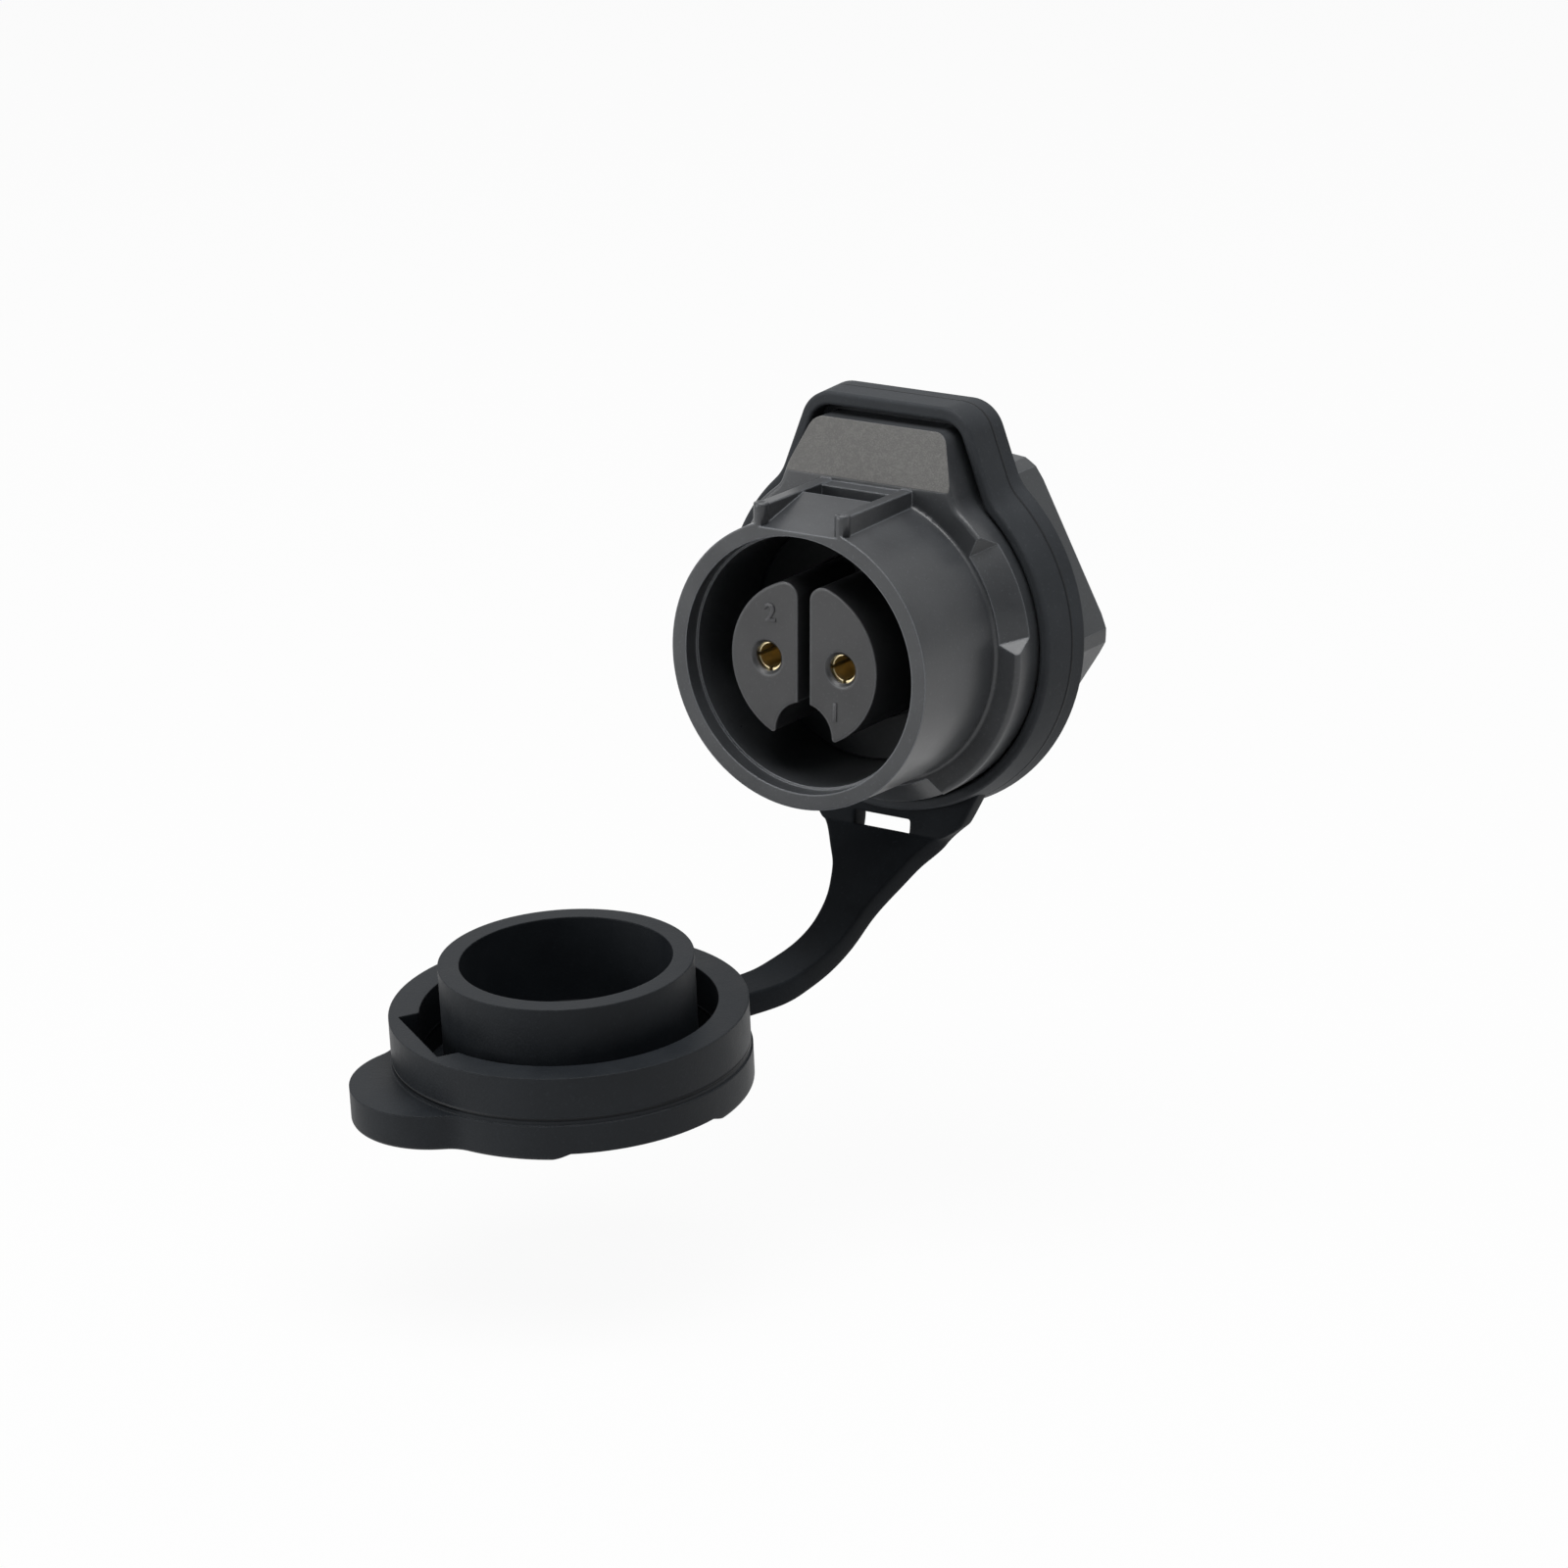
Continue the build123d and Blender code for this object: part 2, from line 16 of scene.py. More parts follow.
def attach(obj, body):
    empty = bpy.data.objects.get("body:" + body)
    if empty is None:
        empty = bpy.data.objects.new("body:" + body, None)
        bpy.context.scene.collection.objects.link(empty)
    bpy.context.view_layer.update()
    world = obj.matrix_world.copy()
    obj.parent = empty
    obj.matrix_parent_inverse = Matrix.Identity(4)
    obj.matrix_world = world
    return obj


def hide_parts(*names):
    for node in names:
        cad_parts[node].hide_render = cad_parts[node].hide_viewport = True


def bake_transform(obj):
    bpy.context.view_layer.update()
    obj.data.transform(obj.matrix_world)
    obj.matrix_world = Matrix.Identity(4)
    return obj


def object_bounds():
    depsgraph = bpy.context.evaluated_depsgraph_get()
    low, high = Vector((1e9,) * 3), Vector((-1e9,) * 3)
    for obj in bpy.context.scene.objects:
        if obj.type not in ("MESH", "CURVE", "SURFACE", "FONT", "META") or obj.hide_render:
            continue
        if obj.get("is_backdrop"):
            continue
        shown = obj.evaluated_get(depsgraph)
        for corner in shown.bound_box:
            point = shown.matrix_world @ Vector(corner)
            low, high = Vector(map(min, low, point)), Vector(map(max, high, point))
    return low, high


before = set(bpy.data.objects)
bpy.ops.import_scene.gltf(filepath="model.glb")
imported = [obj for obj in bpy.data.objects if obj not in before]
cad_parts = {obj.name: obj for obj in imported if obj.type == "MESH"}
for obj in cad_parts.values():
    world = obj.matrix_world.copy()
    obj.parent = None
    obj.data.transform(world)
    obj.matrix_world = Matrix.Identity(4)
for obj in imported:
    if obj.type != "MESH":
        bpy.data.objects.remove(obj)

Array = np.ndarray
Colour = tuple[float, float, float]
Point = tuple[float, float, float]
Range = tuple[float, float]
Object, Material, NodeTree = bpy.types.Object, bpy.types.Material, bpy.types.NodeTree
Socket = bpy.types.NodeSocket
Feed = bpy.types.NodeSocket | float | tuple[float, ...]
FLOAT, VECTOR = "NodeSocketFloat", "NodeSocketVector"
MM = 0.001
log = logging.getLogger("connector")

# The hanging cap: the way its mouth looks, the mouth's middle, and how far below that its outer ledge lies.
# CAP_DROP is how far the floor lies under the object, so that the cap clears it at its lowest swing.
CAP_LEAN = math.radians(4.6)
CAP_UP = (0.0, -math.sin(CAP_LEAN), math.cos(CAP_LEAN))
CAP_MOUTH = (-10.98, -35.28, -21.78)
CAP_LEDGE_DEPTH = 7.5
CAP_DROP = 15.5


class Body(Enum):
    """Bodies that a new piece can ride on."""

    CONNECTOR = "connector"
    CAP = "cap"


class Slot(Enum):
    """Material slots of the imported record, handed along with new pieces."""

    SHELL = "shell_plastic"
    BLOCK = "block_plastic"
    RUBBER = "cap_rubber"


def smooth_step(share: Array) -> Array:
    """Eases a share from 0 to 1: three times its square, less twice its cube."""
    return share * share * (3 - 2 * share)


def quad_corners(rows: int, columns: int, wrap: bool = False) -> Array:
    """Corner numbers of the quads between the points of a grid.

    Args:
        rows: Number of point rows.
        columns: Number of points in each row.
        wrap: Whether the last column joins the first.

    Returns:
        An array with four point numbers per quad.
    """
    steps = columns if wrap else columns - 1
    row, column = np.meshgrid(np.arange(rows - 1), np.arange(steps), indexing="ij")
    after = (column + 1) % columns
    here, below = row * columns, (row + 1) * columns
    return np.stack([here + column, here + after, below + after, below + column], axis=-1).reshape(-1, 4)


def put_in_scene(name: str, data: bpy.types.ID) -> Object:
    """Makes an object and links it to the scene.

    Args:
        name: The object's name.
        data: Its mesh, curve, lamp or camera.

    Returns:
        The object, at the origin.
    """
    thing = bpy.data.objects.new(name, data)
    bpy.context.scene.collection.objects.link(thing)
    return thing


def make_piece(name: str, points: Array, faces: Array) -> Object:
    """Puts arrays of points and faces into a new object at the origin, shaded smooth.

    Args:
        name: Name of the piece.
        points: Point coordinates in metres, one row each.
        faces: Corner numbers, one row per face, all with as many corners.

    Returns:
        The new object, linked to the scene.
    """
    mesh = bpy.data.meshes.new(name)
    count, sides = faces.shape
    mesh.vertices.add(len(points))
    mesh.vertices.foreach_set("co", np.ascontiguousarray(points, dtype=np.float32).ravel())
    mesh.loops.add(count * sides)
    mesh.loops.foreach_set("vertex_index", np.ascontiguousarray(faces, dtype=np.int32).ravel())
    mesh.polygons.add(count)
    mesh.polygons.foreach_set("loop_start", np.arange(0, count * sides, sides, dtype=np.int32))
    mesh.polygons.foreach_set("use_smooth", np.ones(count, dtype=bool))
    mesh.update(calc_edges=True)
    mesh.validate()
    return put_in_scene(name, mesh)


def evaluated_mesh(source: Object) -> bpy.types.Mesh:
    """New mesh of what an object's curve or modifiers give."""
    seen = bpy.context.evaluated_depsgraph_get()
    return bpy.data.meshes.new_from_object(source.evaluated_get(seen))


def finish_mesh(piece: Object) -> None:
    """Replaces a piece's mesh with the one its modifiers give, and clears the modifiers.

    Args:
        piece: The piece.
    """
    mesh = evaluated_mesh(piece)
    piece.modifiers.clear()
    piece.data = mesh


def catmull_rom(points: Array, steps: int) -> Array:
    """Smooth curve through points: each span is the cubic through its ends whose slopes are half the
    difference of the points on either side, and the end spans use a mirrored neighbour.

    Args:
        points: The points passed through, one row each, with any number of values.
        steps: Number of samples in each span.

    Returns:
        The sampled rows, from the first point to the last.
    """
    padded = np.vstack([2 * points[0] - points[1], points, 2 * points[-1] - points[-2]])
    before, start, end, after = padded[:-3], padded[1:-2], padded[2:-1], padded[3:]
    t = np.linspace(0.0, 1.0, steps, endpoint=False)[None, :, None]
    rows = 0.5 * (
        2 * start[:, None]
        + (end - before)[:, None] * t
        + (2 * before - 5 * start + 4 * end - after)[:, None] * t**2
        + (3 * start - before - 3 * end + after)[:, None] * t**3
    )
    return np.vstack([rows.reshape(-1, points.shape[1]), points[-1:]])


class Wiring:
    """Adds nodes to a tree and joins their sockets."""

    # where a Mix node of colours has its share, its two colours and its result
    mix_share, mix_first, mix_second, mix_result = 0, 6, 7, 2

    def __init__(self, tree: NodeTree) -> None:
        """Keeps the tree that the nodes go into."""
        self.tree = tree

    def add(self, kind: str, *values: Feed, **settings: object) -> bpy.types.Node:
        """Adds a node and feeds its first inputs.

        Args:
            kind: The node's type name, without ShaderNode in front.
            *values: What its inputs get, in their order.
            **settings: Attributes set on the node.

        Returns:
            The new node.
        """
        node = self.tree.nodes.new("ShaderNode" + kind)
        for name, value in settings.items():
            setattr(node, name, value)
        for socket, value in zip(node.inputs, values):
            self.feed(socket, value)
        return node

    def feed(self, target: Socket, source: Feed) -> None:
        """Joins a socket to another socket, or sets it to a plain value.

        Args:
            target: The input socket.
            source: An output socket, or the value.
        """
        if isinstance(source, bpy.types.NodeSocket):
            self.tree.links.new(source, target)
        else:
            target.default_value = source

    def math(self, operation: str, *values: Feed) -> Socket:
        """Result of a Math node."""
        return self.add("Math", *values, operation=operation).outputs[0]

    def dot(self, first: Feed, second: Feed) -> Socket:
        """Dot product of two vectors."""
        return self.add("VectorMath", first, second, operation="DOT_PRODUCT").outputs["Value"]

    def ramp(self, value: Feed, low: Feed, high: Feed, to_low: float = 0.0, to_high: float = 1.0) -> Socket:
        """Smooth step of a value: to_low at and below low, to_high at and above high."""
        values = (value, low, high, to_low, to_high)
        return self.add("MapRange", *values, interpolation_type="SMOOTHSTEP").outputs[0]

    def mix(self, share: Feed, first: Feed, second: Feed) -> Socket:
        """Mixes two colours.

        Args:
            share: The second colour's share.
            first: A socket or a colour.
            second: A socket or a colour.

        Returns:
            The mixed colour.
        """
        node = self.add("Mix", data_type="RGBA")
        self.feed(node.inputs[self.mix_share], share)
        for place, given in ((self.mix_first, first), (self.mix_second, second)):
            self.feed(node.inputs[place], (*given, 1.0) if isinstance(given, tuple) else given)
        return node.outputs[self.mix_result]

    def noise(self, vector: Feed, scale: Feed, detail: float, roughness: float) -> Socket:
        """Adds a noise texture.

        Args:
            vector: The point read.
            scale: Waves per metre.
            detail: Number of finer octaves.
            roughness: How much the finer octaves weigh.

        Returns:
            The noise, about 0.5 on average.
        """
        node = self.add("TexNoise")
        given = {"Vector": vector, "Scale": scale, "Detail": detail, "Roughness": roughness}
        for name, value in given.items():
            self.feed(node.inputs[name], value)
        return node.outputs["Fac"]

    def seen_rays(self) -> tuple[Socket, Socket]:
        """Masks of the rays that show a background.

        Returns:
            The camera's rays, and those together with reflected and refracted ones.
        """
        path = self.add("LightPath")
        seen = self.math("MAXIMUM", path.outputs["Is Camera Ray"], path.outputs["Is Glossy Ray"])
        return path.outputs["Is Camera Ray"], self.math("MAXIMUM", seen, path.outputs["Is Transmission Ray"])


def new_group(
    name: str, inputs: dict[str, str], outputs: dict[str, str]
) -> tuple[Wiring, dict[str, Socket], dict[str, Socket]]:
    """Starts a shader node group.

    Args:
        name: The group's name.
        inputs: Socket type by input name.
        outputs: Socket type by output name.

    Returns:
        The group's wiring, its input sockets by name and its output sockets by name.
    """
    tree = bpy.data.node_groups.new(name, "ShaderNodeTree")
    for side, sockets in (("INPUT", inputs), ("OUTPUT", outputs)):
        for label, kind in sockets.items():
            tree.interface.new_socket(label, in_out=side, socket_type=kind)
    source = tree.nodes.new("NodeGroupInput")
    sink = tree.nodes.new("NodeGroupOutput")
    return Wiring(tree), {s.name: s for s in source.outputs}, {s.name: s for s in sink.inputs}


class Effects:
    """Shader node groups that several finishes share."""

    fine_share = 0.65
    coarse_scale = 0.28
    fleck_scale = 0.6
    fleck_range = (0.62, 0.74)
    clouds_per_metre = 190.0
    rubs_per_metre = 900.0
    rub_range = (0.6, 0.8)
    rub_stretch = (1.0, 0.25, 1.0)
    rub_turn = (0.3, 0.0, 0.5)
    shakes_per_metre = 2500.0
    shake = 2.5

    def __init__(self) -> None:
        """Builds each group once."""
        self.grain = self.make_grain()
        self.handling = self.make_handling()
        # painted highlight on edges, standing in for glints on rounded edges
        self.edge_highlight = self.make_edge_highlight()
        self.line = self.make_line()
        self.rings = self.make_rings()

    def make_grain(self) -> NodeTree:
        """Fine skin of a spark-eroded mould: two sizes of noise, with rare bright flecks.

        Returns:
            The group.
        """
        w, given, out = new_group(
            "moulded_grain", {"Vector": VECTOR, "Grains per metre": FLOAT}, {"Height": FLOAT, "Fleck": FLOAT}
        )
        vector, grains = given["Vector"], given["Grains per metre"]
        fine = w.math("MULTIPLY", w.noise(vector, grains, detail=3.0, roughness=0.6), self.fine_share)
        coarse_grains = w.math("MULTIPLY", grains, self.coarse_scale)
        coarse = w.noise(vector, coarse_grains, detail=2.0, roughness=0.55)
        w.feed(out["Height"], w.math("ADD", fine, w.math("MULTIPLY", coarse, 1 - self.fine_share)))
        flecks = w.math("MULTIPLY", grains, self.fleck_scale)
        spots = w.noise(vector, flecks, detail=1.0, roughness=0.5)
        w.feed(out["Fleck"], w.ramp(spots, *self.fleck_range))
        return w.tree

    def make_handling(self) -> NodeTree:
        """Slow changes over a surface that has been handled: cloudy patches and thin rubbed streaks.

        Returns:
            The group.
        """
        w, given, out = new_group("handling", {"Vector": VECTOR}, {"Cloud": FLOAT, "Rub": FLOAT})
        clouds = w.noise(given["Vector"], self.clouds_per_metre, detail=3.0, roughness=0.55)
        w.feed(out["Cloud"], clouds)
        stretch = w.add("Mapping")
        stretch.inputs["Scale"].default_value = self.rub_stretch
        stretch.inputs["Rotation"].default_value = self.rub_turn
        w.feed(stretch.inputs["Vector"], given["Vector"])
        streaks = w.noise(stretch.outputs[0], self.rubs_per_metre, detail=4.0, roughness=0.7)
        w.feed(out["Rub"], w.ramp(streaks, *self.rub_range))
        return w.tree

    @staticmethod
    def make_edge_highlight() -> NodeTree:
        """Painted edge highlight: how far the rounded normal turns from the flat one, 0 on a face and 1 on an
        edge.

        Returns:
            The group.
        """
        w, given, out = new_group(
            "painted_edge_highlight", {"Rounded": VECTOR, "Flat": VECTOR, "Full turn": FLOAT}, {"Highlight": FLOAT}
        )
        turned = w.math("SUBTRACT", 1.0, w.dot(given["Rounded"], given["Flat"]))
        w.feed(out["Highlight"], w.ramp(turned, 0.0, given["Full turn"]))
        return w.tree

    @staticmethod
    def make_line() -> NodeTree:
        """Fine raised line where two mould halves met: highest at distance 0, gone a width away.

        Returns:
            The group.
        """
        w, given, out = new_group("parting_line", {"Distance": FLOAT, "Width": FLOAT}, {"Height": FLOAT})
        near = w.math("DIVIDE", w.math("ABSOLUTE", given["Distance"]), given["Width"])
        w.feed(out["Height"], w.ramp(near, 0.0, 1.0, 1.0, 0.0))
        return w.tree

    def make_rings(self) -> NodeTree:
        """Turning marks: waves along a depth, shaken a little by noise.

        Returns:
            The group.
        """
        w, given, out = new_group(
            "turning_marks", {"Vector": VECTOR, "Depth": FLOAT, "Rings per metre": FLOAT}, {"Height": FLOAT}
        )
        shakes = w.noise(given["Vector"], self.shakes_per_metre, detail=2.0, roughness=0.5)
        shake = w.math("MULTIPLY", shakes, self.shake)
        turns = w.math("MULTIPLY", given["Depth"], w.math("MULTIPLY", given["Rings per metre"], 2 * math.pi))
        w.feed(out["Height"], w.math("MULTIPLY_ADD", w.math("SINE", w.math("ADD", turns, shake)), 0.5, 0.5))
        return w.tree


@dataclass(frozen=True)
class Canvas:
    """An empty material, with the shader, coordinates and rounded normal that a finish starts from."""

    material: Material
    wiring: Wiring
    shader: bpy.types.Node
    point: Socket
    rounded: Socket

    @classmethod
    def start(cls, name: str, edge_radius: float, specular: float) -> "Canvas":
        """Makes the material.

        Args:
            name: The material's name.
            edge_radius: Radius that its sharp edges seem to have, in millimetres.
            specular: The shader's specular level, 0.5 for an ordinary plastic.

        Returns:
            The canvas.
        """
        material = bpy.data.materials.new(name)
        material.use_nodes = True
        material.node_tree.nodes.clear()
        wiring = Wiring(material.node_tree)
        shader = wiring.add("BsdfPrincipled")
        shader.inputs["Specular IOR Level"].default_value = specular
        wiring.add("OutputMaterial", shader.outputs[0])
        point = wiring.add("TexCoord").outputs["Object"]
        rounding = wiring.add("Bevel", samples=4)
        rounding.inputs["Radius"].default_value = edge_radius * MM
        return cls(material, wiring, shader, point, rounding.outputs[0])

    def use(self, group: NodeTree, *inputs: Feed) -> bpy.types.bpy_prop_collection:
        """Places a shared group, feeds its inputs in their order and gives its outputs."""
        return self.wiring.add("Group", *inputs, node_tree=group).outputs

    def bump(self, height: Feed, depth: float, normal: Feed) -> Socket:
        """Adds a relief on a normal.

        Args:
            height: The height map.
            depth: How deep it goes, in millimetres.
            normal: The normal that it changes.

        Returns:
            The new normal.
        """
        node = self.wiring.add("Bump")
        node.inputs["Distance"].default_value = depth * MM
        self.wiring.feed(node.inputs["Height"], height)
        self.wiring.feed(node.inputs["Normal"], normal)
        return node.outputs[0]

    def edge_highlight(self, effects: Effects, full_turn: float) -> Socket:
        """How much painted edge highlight the surface gets, 0 on a face and 1 on an edge."""
        flat = self.wiring.add("NewGeometry").outputs["Normal"]
        return self.use(effects.edge_highlight, self.rounded, flat, full_turn)["Highlight"]


@dataclass(frozen=True)
class Look:
    """What a finish feeds into its shader."""

    colour: Socket
    roughness: Socket
    normal: Socket

    def wear_on(self, c: Canvas) -> Material:
        """Feeds the look into a canvas's shader and gives its material.

        Args:
            c: The canvas.

        Returns:
            The finished material.
        """
        feeds = {"Base Color": self.colour, "Roughness": self.roughness, "Normal": self.normal}
        for name, source in feeds.items():
            c.wiring.feed(c.shader.inputs[name], source)
        return c.material


@dataclass(frozen=True)
class Touch:
    """A touch of another tone: its greatest share, and how many times its source's colour it is."""

    share: float
    gain: float

    def over(self, w: Wiring, colour: Socket, mask: Socket, source: Colour) -> Socket:
        """Lays the touch over a colour where the mask is 1."""
        return w.mix(w.math("MULTIPLY", mask, self.share), colour, tuple(self.gain * v for v in source))


@dataclass(frozen=True)
class LugFacet:
    """The slanted facet of the shell's lug: rougher than the shell round it, and paler, partly for its
    textured skin and partly as painted light for a face turned up toward the lamps.
    """

    foot_depth: float = -7.5
    foot_height: float = 13.05
    top_height: float = 17.46
    setback: float = 2.0
    plane_range: Range = (0.03, 0.08)
    foot_fade: float = 0.06
    # paler colour: partly the textured skin, partly painted light for the upturned facet
    colour: Colour = (0.092, 0.090, 0.086)
    colour_share: float = 0.85
    grains_per_metre: float = 6800.0
    grain_range: Range = (0.42, 0.66)
    grain_colour: Colour = (0.17, 0.167, 0.16)
    grain_share: float = 0.35
    relief: float = 0.05
    roughness: float = 0.72

    def mask(self, c: Canvas) -> Socket:
        """Finds the facet: near its plane and above its foot.

        Args:
            c: The canvas.

        Returns:
            1 on the facet and 0 elsewhere.
        """
        w = c.wiring
        turn = w.add("Mapping", vector_type="TEXTURE")
        turn.inputs["Location"].default_value = (0.0, self.foot_depth * MM, self.foot_height * MM)
        lean = math.atan2(self.setback, self.top_height - self.foot_height)
        turn.inputs["Rotation"].default_value = (-lean, 0.0, 0.0)
        w.feed(turn.inputs["Vector"], c.point)
        place = w.add("SeparateXYZ", turn.outputs[0]).outputs
        full, gone = self.plane_range
        near = w.ramp(w.math("ABSOLUTE", place["Y"]), full * MM, gone * MM, 1.0, 0.0)
        return w.math("MULTIPLY", near, w.ramp(place["Z"], 0.0, self.foot_fade * MM))

    def over(self, c: Canvas, effects: Effects, look: Look) -> Look:
        """Lays the facet's skin over the finish round it.

        Args:
            c: The canvas.
            effects: The shared groups.
            look: The finish round it.

        Returns:
            The finish with the facet.
        """
        w = c.wiring
        facet = self.mask(c)
        grain = c.use(effects.grain, c.point, self.grains_per_metre)["Height"]
        # paler facet colour: partly textured skin, partly painted light
        colour = w.mix(w.math("MULTIPLY", facet, self.colour_share), look.colour, self.colour)
        high = w.ramp(grain, *self.grain_range)
        share = w.math("MULTIPLY", high, w.math("MULTIPLY", facet, self.grain_share))
        return Look(
            w.mix(share, colour, self.grain_colour),
            w.math("MAXIMUM", look.roughness, w.math("MULTIPLY", facet, self.roughness)),
            c.bump(w.math("MULTIPLY", grain, facet), self.relief, look.normal),
        )


@dataclass(frozen=True)
class PartingLine:
    """A thin dark line round a moulding where the mould's halves met."""

    point: Point
    direction: Point = (0.0, 1.0, 0.0)
    width: float = 0.2
    rise: float = 0.09
    shade: Touch = Touch(0.8, 0.25)

    def over(self, c: Canvas, effects: Effects, look: Look, dark: Colour) -> Look:
        """Lays the line over a finish: it runs where the way from its point, along its direction, is 0.

        Args:
            c: The canvas.
            effects: The shared groups.
            look: The finish without it.
            dark: The finish's darker colour.

        Returns:
            The finish with the line.
        """
        w = c.wiring
        start = tuple(v * MM for v in self.point)
        away = w.add("VectorMath", c.point, start, operation="SUBTRACT").outputs[0]
        line = c.use(effects.line, w.dot(away, self.direction), self.width * MM)["Height"]
        colour = self.shade.over(w, look.colour, line, dark)
        return Look(colour, look.roughness, c.bump(line, self.rise, look.normal))


@dataclass(frozen=True, kw_only=True)
class Moulded:
    """A black finish out of a mould: cloudy colour, rare flecks, edges made paler by a painted highlight, and
    a fine relief.

    From cloud to cloud its roughness falls by smoother and rises by rougher.
    """

    name: str
    dark: Colour
    light: Colour
    roughness: float
    specular: float
    edge_radius: float
    grains_per_metre: float
    relief: float
    cloud_range: Range
    fleck: Touch
    # painted edge highlight: its greatest share and brightness, and how far a normal turns for the full share
    highlight_touch: Touch
    highlight_turn: float
    smoother: float
    rougher: float = 0.06
    rough_range: Range = (0.2, 0.8)
    rub_polish: float = 0.0

    def material(self, effects: Effects) -> Material:
        """Builds the finish.

        Args:
            effects: The shared groups.

        Returns:
            The material.
        """
        c = Canvas.start(self.name, self.edge_radius, self.specular)
        w = c.wiring
        grain = c.use(effects.grain, c.point, self.grains_per_metre)
        hands = c.use(effects.handling, c.point)
        colour = w.mix(w.ramp(hands["Cloud"], *self.cloud_range), self.dark, self.light)
        colour = self.fleck.over(w, colour, grain["Fleck"], self.light)
        # edges made paler: a painted highlight
        colour = self.highlight_touch.over(w, colour, c.edge_highlight(effects, self.highlight_turn), self.light)
        span = (self.roughness - self.smoother, self.roughness + self.rougher)
        rough = w.ramp(hands["Cloud"], *self.rough_range, *span)
        if self.rub_polish:
            rough = w.math("SUBTRACT", rough, w.math("MULTIPLY", hands["Rub"], self.rub_polish))
        look = Look(colour, rough, c.bump(grain["Height"], self.relief, c.rounded))
        return self.detailed(c, effects, look).wear_on(c)

    def detailed(self, c: Canvas, effects: Effects, look: Look) -> Look:
        """Adds what only some mouldings have; a plain one has nothing."""
        return look


@dataclass(frozen=True, kw_only=True)
class MouldedPlastic(Moulded):
    """Black glass-filled plastic from a spark-eroded mould, with an optional rougher facet."""

    specular: float = 0.5
    edge_radius: float = 0.2
    relief: float = 0.012
    cloud_range: Range = (0.3, 0.7)
    fleck: Touch = Touch(0.25, 2.2)
    # painted edge highlight: up to 0.7 of six times the light colour
    highlight_touch: Touch = Touch(0.7, 6.0)
    highlight_turn: float = 1 / 6
    smoother: float = 0.05
    rub_polish: float = 0.06
    facet: LugFacet | None = None

    def detailed(self, c: Canvas, effects: Effects, look: Look) -> Look:
        """Adds the facet if there is one."""
        return self.facet.over(c, effects, look) if self.facet else look


@dataclass(frozen=True, kw_only=True)
class MouldedRubber(Moulded):
    """Soft black rubber with a powdery skin, and an optional line where the mould's halves met."""

    specular: float = 0.18
    edge_radius: float = 0.18
    grains_per_metre: float = 5200.0
    relief: float = 0.022
    cloud_range: Range = (0.3, 0.75)
    fleck: Touch = Touch(0.18, 2.0)
    # painted edge highlight: up to 0.3 of 2.4 times the light colour
    highlight_touch: Touch = Touch(0.3, 2.4)
    highlight_turn: float = 1 / 3
    smoother: float = 0.06
    line: PartingLine | None = None

    def detailed(self, c: Canvas, effects: Effects, look: Look) -> Look:
        """Adds the parting line if there is one."""
        return self.line.over(c, effects, look, self.dark) if self.line else look


@dataclass(frozen=True)
class TurnedMetal:
    """Plated or plain metal turned on a lathe, with rings along its depth and a little tarnish."""

    name: str
    bright: Colour
    tarnish: Colour
    roughness: float
    rings_per_metre: float = 5200.0
    tarnish_range: Range = (0.45, 0.8)
    rub_roughness: float = 0.12
    relief: float = 0.004
    edge_radius: float = 0.05
    specular: float = 0.5

    def material(self, effects: Effects) -> Material:
        """Builds the finish.

        Args:
            effects: The shared groups.

        Returns:
            The material.
        """
        c = Canvas.start(self.name, self.edge_radius, self.specular)
        w = c.wiring
        c.shader.inputs["Metallic"].default_value = 1.0
        hands = c.use(effects.handling, c.point)
        depth = w.add("SeparateXYZ", c.point).outputs["Y"]
        marks = c.use(effects.rings, c.point, depth, self.rings_per_metre)["Height"]
        colour = w.mix(w.ramp(hands["Cloud"], *self.tarnish_range), self.bright, self.tarnish)
        rough = w.math("MULTIPLY_ADD", hands["Rub"], self.rub_roughness, self.roughness)
        return Look(colour, rough, c.bump(marks, self.relief, c.rounded)).wear_on(c)


